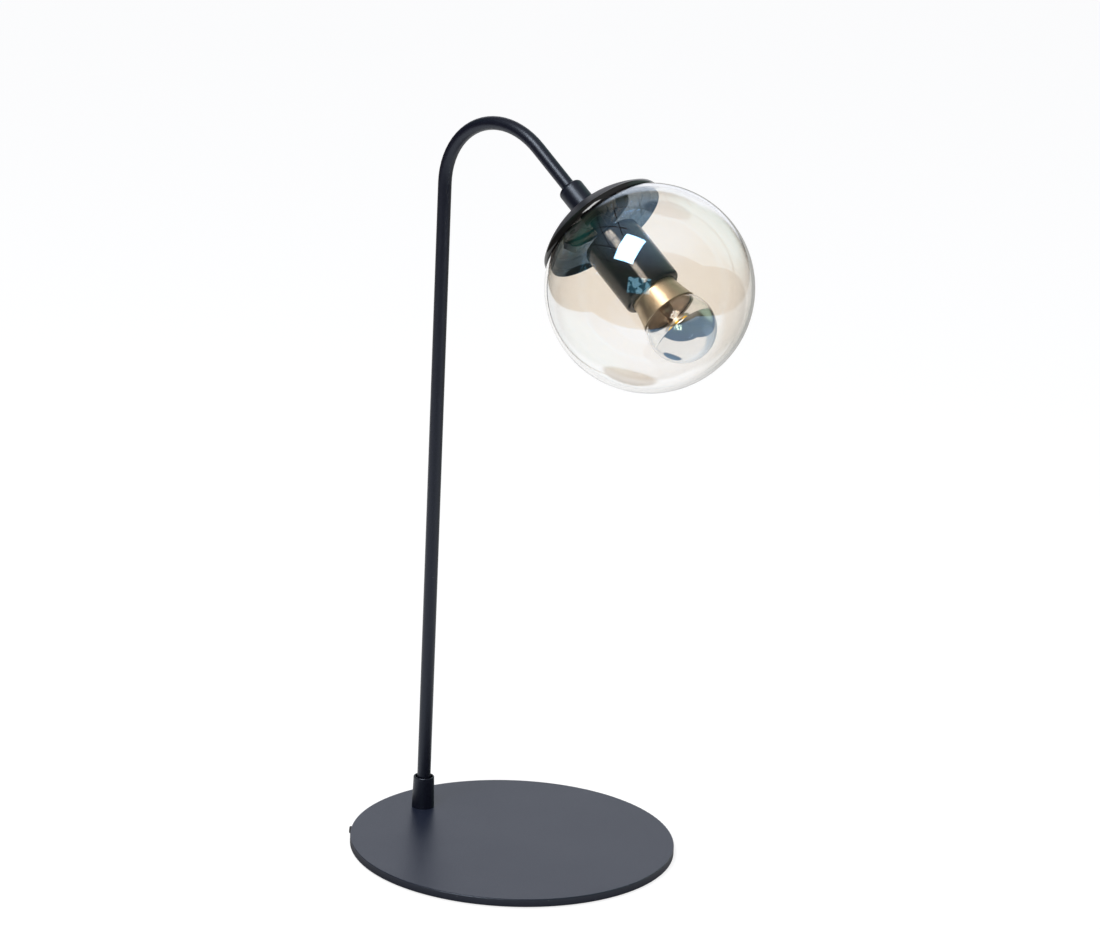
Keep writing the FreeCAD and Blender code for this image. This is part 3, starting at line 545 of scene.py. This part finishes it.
def piece(name, mesh, paint, body, slot, node):
    """A mesh with its slot's finish, which rides on a body and stands for a CAD node."""
    data = bpy.data.meshes.new(name)
    mesh.to_mesh(data)
    mesh.free()
    data.polygons.foreach_set("use_smooth", [True] * len(data.polygons))
    data.materials.append(paint[slot])
    made = bpy.data.objects.new(name, data)
    bpy.context.scene.collection.objects.link(made)
    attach(made, body)
    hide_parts(node)


GLOBE_RINGS = 180
GLOBE_SEGMENTS = 320
LIP_STEPS = 8
WALL_SWELL = 0.0012
BULB_RINGS = 90
CROWN_RINGS = 60
BULB_SEGMENTS = 160
THREAD_STEPS = 120
THREAD_SEGMENTS = 96


def blown_globe():
    """The globe with a fire-polished lip, and a wall a little thicker on one side as blowing leaves it."""
    middle = GLOBE_RADIUS - GLOBE_WALL / 2
    inner = GLOBE_RADIUS - GLOBE_WALL
    mouth = math.degrees(math.asin(GLOBE_MOUTH_RADIUS / middle))
    angle = math.radians(mouth)
    lip = []
    for k in range(1, LIP_STEPS):
        turn = math.pi * k / LIP_STEPS
        along = middle + GLOBE_WALL / 2 * math.cos(turn)
        back = GLOBE_WALL / 2 * math.sin(turn)
        lip.append((
            along * math.sin(angle) - back * math.cos(angle),
            along * math.cos(angle) + back * math.sin(angle),
        ))
    outside = arc(GLOBE_RADIUS, 0.0, 180.0, mouth, GLOBE_RINGS)
    inside = arc(inner, 0.0, mouth, 180.0, GLOBE_RINGS)
    profile = outside + lip + inside

    def uneven(r, height, angle):
        if math.hypot(r, height) > middle:
            return r, height
        swell = 1 + WALL_SWELL * math.cos(angle - 0.8) * r / inner
        return r * swell, height

    return lathe(profile, GLOBE_SEGMENTS, uneven)


def bulb_ball():
    inner = BULB_RADIUS - BULB_WALL
    outside_mouth = math.degrees(math.acos((BULB_MOUTH - BULB_CENTRE) / BULB_RADIUS))
    inside_mouth = math.degrees(math.acos((BULB_MOUTH - BULB_CENTRE) / inner))
    outside = arc(BULB_RADIUS, BULB_CENTRE, 180.0, outside_mouth, BULB_RINGS)
    inside = arc(inner, BULB_CENTRE, inside_mouth, 180.0, BULB_RINGS)
    return lathe(outside + inside, BULB_SEGMENTS)


def bulb_crown():
    outer = BULB_RADIUS - BULB_WALL - MIRROR_GAP
    inner = outer - MIRROR_WALL
    rim = math.degrees(math.acos((MIRROR_START - BULB_CENTRE) / outer))
    outside = arc(outer, BULB_CENTRE, 180.0, rim, CROWN_RINGS)
    inside = arc(inner, BULB_CENTRE, rim, 180.0, CROWN_RINGS)
    return lathe(outside + inside, BULB_SEGMENTS)


def screw_cap():
    """A thin shell rolled into a right-hand screw thread, with plain ends and a shoulder at the top."""
    length = SCREW_HIGH - SCREW_LOW
    outside = [(SCREW_ROOT, SCREW_LOW + length * k / THREAD_STEPS) for k in range(THREAD_STEPS + 1)]
    inside = [(SCREW_ROOT - SCREW_WALL, height) for r, height in reversed(outside)]

    def rolled(r, height, angle):
        below_top = SCREW_HIGH - height
        phase = (height / THREAD_PITCH - angle / (2 * math.pi)) % 1.0
        ends = min(1.0, (height - SCREW_LOW) / THREAD_PITCH, below_top / THREAD_PITCH)
        wave = 0.5 + 0.5 * math.cos(2 * math.pi * phase)
        ridge = (SCREW_CREST - SCREW_ROOT) * wave * max(0.0, ends)
        neck = SCREW_SHOULDER * max(0.0, 1 - below_top / SCREW_SHOULDER_HEIGHT) ** 2
        return r + ridge - neck, height

    return lathe(outside + inside, THREAD_SEGMENTS, rolled, closed=True)


def add_pieces(paint):
    piece("blown_globe", blown_globe(), paint, "globe", "lustre_glass", "glass_globe")
    piece("bulb_ball", bulb_ball(), paint, "bulb", "clear_glass", "bulb_envelope")
    piece("bulb_crown", bulb_crown(), paint, "bulb", "crown_mirror", "bulb_mirror")
    piece("rolled_screw_cap", screw_cap(), paint, "bulb", "nickelled_cap", "bulb_screw_cap")


# ---- the studio ---------------------------------------------------------------------------------------

SOFTBOX_TOWARDS = Vector((-0.0089, -0.5770, 0.8167))
SOFTBOX_ACROSS = Vector((0.9972, 0.0560, 0.0504))
SOFTBOX_DISTANCE = 1.58
SOFTBOX_SIZE = (0.61, 0.80)
SOFTBOX_RADIANCE = 13.0
FLOOR_HALF = 9.0
FLOOR_DROP = 0.3 * MM

TABLE_ACROSS = Vector((0.84, 0.542, 0))
TABLE_NEAR = Vector((0.542, -0.84, 0))
TABLE_LEFT = -1.17
TABLE_RIGHT = 1.60
TABLE_FRONT = 0.93

BACKDROP = Vector((-0.656, 0.755, 0))
BACKDROP_SIDE = Vector((0.755, 0.656, 0))
BACKDROP_SOFT = 0.10
WHITE = (1.0, 1.0, 1.0)
FILL = (0.50, 0.51, 0.54)
PAPER = (0.80, 0.80, 0.80, 1.0)
PAPER_FAINT = (0.30, 0.30, 0.30, 1.0)
PAPER_GLOW = 0.80
BACKDROP_COLOUR = (1.00, 1.02, 1.08)
TABLE_COLOUR = (1.0, 1.0, 1.0)
# Painted contact shadow: the mirrored table's colour right round the plate.
TABLE_PAINTED_CONTACT_SHADE = (0.16, 0.16, 0.18)
TABLE_FAR_RIGHT = (0.47, 0.47, 0.45)
ROOM_LOW = (0.060, 0.052, 0.045)
ROOM_SIDE = (0.075, 0.080, 0.050)
ROOM_CLUTTER = (0.03, 0.035, 0.04)
CEILING = (0.42, 0.42, 0.42)
WALL_RIGHT = Vector((0.08, 0.86, 0.50))
WALL_RIGHT_COLOUR = (0.40, 0.56, 0.50)
WALL_LEFT = Vector((-0.93, -0.34, 0.10))
WALL_LEFT_COLOUR = (0.018, 0.020, 0.020)
DOORWAY = Vector((-0.88, -0.16, 0.44))
DOORWAY_COLOUR = (0.04, 0.17, 0.11)
WINDOW = Vector((0.44, -0.84, 0.32))
WINDOW_SIDE = Vector((0.885, 0.465, 0))
WINDOW_COLOUR = (1.25, 1.60, 1.40)
WINDOW_DARK = (0.10, 0.30, 0.30)
SLANTING_BARS = (-0.755, 0.565)
LEVEL_BARS = (0.26, 0.54)
BAR_COLOUR = (0.01, 0.01, 0.015)


def ray_kinds(s):
    """Which rays reach the studio straight from the camera (through glass or not), and which by a mirror."""
    straight = s.light_path("Glossy Depth").below(0.3, 0.6) * s.light_path("Diffuse Depth").below(0.3, 0.6)
    seen = s.light_path("Is Camera Ray").math("MAXIMUM", s.light_path("Is Transmission Ray")) * straight
    mirrored = s.light_path("Is Glossy Ray").math("MAXIMUM", s.light_path("Is Transmission Ray"))
    mirrored = mirrored * s.light_path("Glossy Depth").above(0.3, 0.6)
    return seen, mirrored


def patch(s, direction, towards, side, half_width, low, high, soft):
    """A rectangle of the surroundings, as seen in one direction: 1 inside it, 0 outside."""
    up = side.cross(towards)
    depth = s.along(direction, towards)
    across = abs(s.along(direction, side) / depth)
    rise = s.along(direction, up) / depth
    inside = across.below(half_width - soft, half_width + soft)
    inside = inside * rise.above(low - soft, low + soft) * rise.below(high - soft, high + soft)
    return inside * depth.above(0.0, 0.05)


def bars(across, start, spacing):
    """1 on thin bars at an even spacing, one of them at start, and 0 between them."""
    off_bar = abs(((across - start) / spacing + 20.5).math("FRACT") - 0.5)
    return off_bar.below(0.015, 0.035)


def ceiling_grid(s, direction, height):
    """Thin dark bars across the ceiling behind the stem."""
    x = s.along(direction, (1, 0, 0)) / height
    y = s.along(direction, (0, 1, 0)) / height
    grid = bars(x + y, *SLANTING_BARS).math("MAXIMUM", bars(y, *LEVEL_BARS))
    return grid * x.below(-0.35, -0.25) * x.above(-1.9, -1.7) * height.above(0.3, 0.5)


def make_world():
    world = bpy.data.worlds.new("studio")
    world.use_nodes = True
    bpy.context.scene.world = world
    s = Sheet(world.node_tree)
    seen, mirrored = ray_kinds(s)
    direction = s.add("ShaderNodeTexCoord", output="Generated")
    height = s.along(direction, UP)
    clutter = s.noise(direction, 4.0, 3.0)
    room = s.mix(height.above(-0.2, 0.1), ROOM_LOW, ROOM_SIDE)
    room = s.mix(clutter.above(0.4, 0.6) * 0.4, room, ROOM_CLUTTER)
    room = s.mix(height.above(0.5, 0.95), room, CEILING)
    room = s.mix(s.distance_to(direction, WALL_RIGHT).below(0.32, 0.62), room, WALL_RIGHT_COLOUR)
    room = s.mix(s.distance_to(direction, WALL_LEFT).below(0.20, 0.60), room, WALL_LEFT_COLOUR)
    room = s.mix(s.distance_to(direction, DOORWAY).below(0.05, 0.35), room, DOORWAY_COLOUR)
    room = s.mix(ceiling_grid(s, direction, height), room, BAR_COLOUR)
    panes = s.noise(direction, 9.0, 2.0).above(0.44, 0.52)
    window = patch(s, direction, WINDOW.normalized(), WINDOW_SIDE, 0.22, -0.15, 0.15, 0.01)
    room = s.mix(window, room, s.mix(panes, WINDOW_DARK, WINDOW_COLOUR))
    sweep = patch(s, direction, BACKDROP, BACKDROP_SIDE, 0.46, -1.0, 0.55, BACKDROP_SOFT)
    studio = s.mix(sweep, room, BACKDROP_COLOUR)
    colour = s.mix(mirrored, FILL, studio)
    colour = s.mix(seen, colour, WHITE)
    background = s.add("ShaderNodeBackground", sockets={"Color": colour, "Strength": 1.0})
    s.add("ShaderNodeOutputWorld", sockets={"Surface": background})


def paper_floor(s):
    """White to the camera with the lamp's soft shadow, a white table with edges to whatever mirrors it, and
    on that table a painted contact shadow round the plate.
    """
    seen, mirrored = ray_kinds(s)
    place = s.place()
    across = s.along(place, TABLE_ACROSS)
    near = s.along(place, TABLE_NEAR)
    table = across.above(TABLE_LEFT - 0.05, TABLE_LEFT + 0.05)
    table = table * across.below(TABLE_RIGHT - 0.1, TABLE_RIGHT + 0.1)
    table = table * near.below(TABLE_FRONT - 0.04, TABLE_FRONT + 0.04)
    # 0 at the plate's edge, 1 farther out: the painted contact shadow fades away from the plate
    clear_of_painted_shade = s.distance_to(place, (0, 0, 0)).above(PLATE_RADIUS - 5 * MM, PLATE_RADIUS + 35 * MM)
    behind_right = (across - near * 0.5).above(0.0, 0.9) * near.below(-0.25, 0.05)
    lit = s.mix(clear_of_painted_shade, TABLE_PAINTED_CONTACT_SHADE, s.mix(behind_right, TABLE_COLOUR, TABLE_FAR_RIGHT))
    reflected = s.add("ShaderNodeEmission", sockets={"Color": s.mix(table, ROOM_LOW, lit)})
    paper = s.add("ShaderNodeBsdfDiffuse", sockets={"Color": PAPER})
    glow = s.add("ShaderNodeEmission", sockets={"Strength": PAPER_GLOW})
    faint = s.add("ShaderNodeBsdfDiffuse", sockets={"Color": PAPER_FAINT})
    shown = s.add("ShaderNodeAddShader", sockets={0: glow, 1: faint})
    surface = s.shader_mix(mirrored, paper, reflected)
    surface = s.shader_mix(seen, surface, shown)
    beneath = s.add("ShaderNodeBsdfTransparent")
    return s.shader_mix(s.add("ShaderNodeNewGeometry", output="Backfacing"), surface, beneath)


def make_floor():
    data = bpy.data.meshes.new("floor")
    sides = [(-1, -1), (1, -1), (1, 1), (-1, 1)]
    corners = [(x * FLOOR_HALF, y * FLOOR_HALF, -FLOOR_DROP) for x, y in sides]
    data.from_pydata(corners, [], [(0, 1, 2, 3)])
    data.materials.append(finish("paper_floor", paper_floor))
    floor = bpy.data.objects.new("floor", data)
    bpy.context.scene.collection.objects.link(floor)


def make_softbox():
    lamp = bpy.data.lights.new("softbox", "AREA")
    lamp.shape = "RECTANGLE"
    lamp.size = SOFTBOX_SIZE[0]
    lamp.size_y = SOFTBOX_SIZE[1]
    lamp.energy = SOFTBOX_RADIANCE * math.pi * lamp.size * lamp.size_y
    softbox = bpy.data.objects.new("softbox", lamp)
    back = SOFTBOX_TOWARDS.normalized()
    up = back.cross(SOFTBOX_ACROSS).normalized()
    turn = Matrix((up.cross(back), up, back)).transposed().to_4x4()
    softbox.matrix_world = Matrix.Translation(GLOBE_CENTRE + back * SOFTBOX_DISTANCE) @ turn
    softbox.visible_camera = False
    bpy.context.scene.collection.objects.link(softbox)


# ---- making it ----------------------------------------------------------------------------------------

def dress_nodes(paint):
    """Gives every CAD node the finish of its material slot, with two exceptions.

    The dish has a duller brass, and the plate's top has a painted sheen that makes it bluer.
    """
    for part in frame["record"]["subparts"]:
        node = frame["nodes"][part["node"]]
        node.data.materials.clear()
        node.data.materials.append(paint[part["material_slot"]])
    frame["nodes"]["bulb_reflector"].data.materials[0] = finish("dish_brass", dish_brass)
    # the plate's coat, with the painted sheen on its top
    frame["nodes"]["base_plate"].data.materials[0] = finish("plate_coat_painted_sheen", plate_coat_painted_sheen)


make_camera()
make_world()
make_floor()
make_softbox()
paint = {slot: finish(slot, recipe) for slot, recipe in FINISHES.items()}
dress_nodes(paint)
add_pieces(paint)
bpy.context.scene.view_settings.view_transform = "Standard"
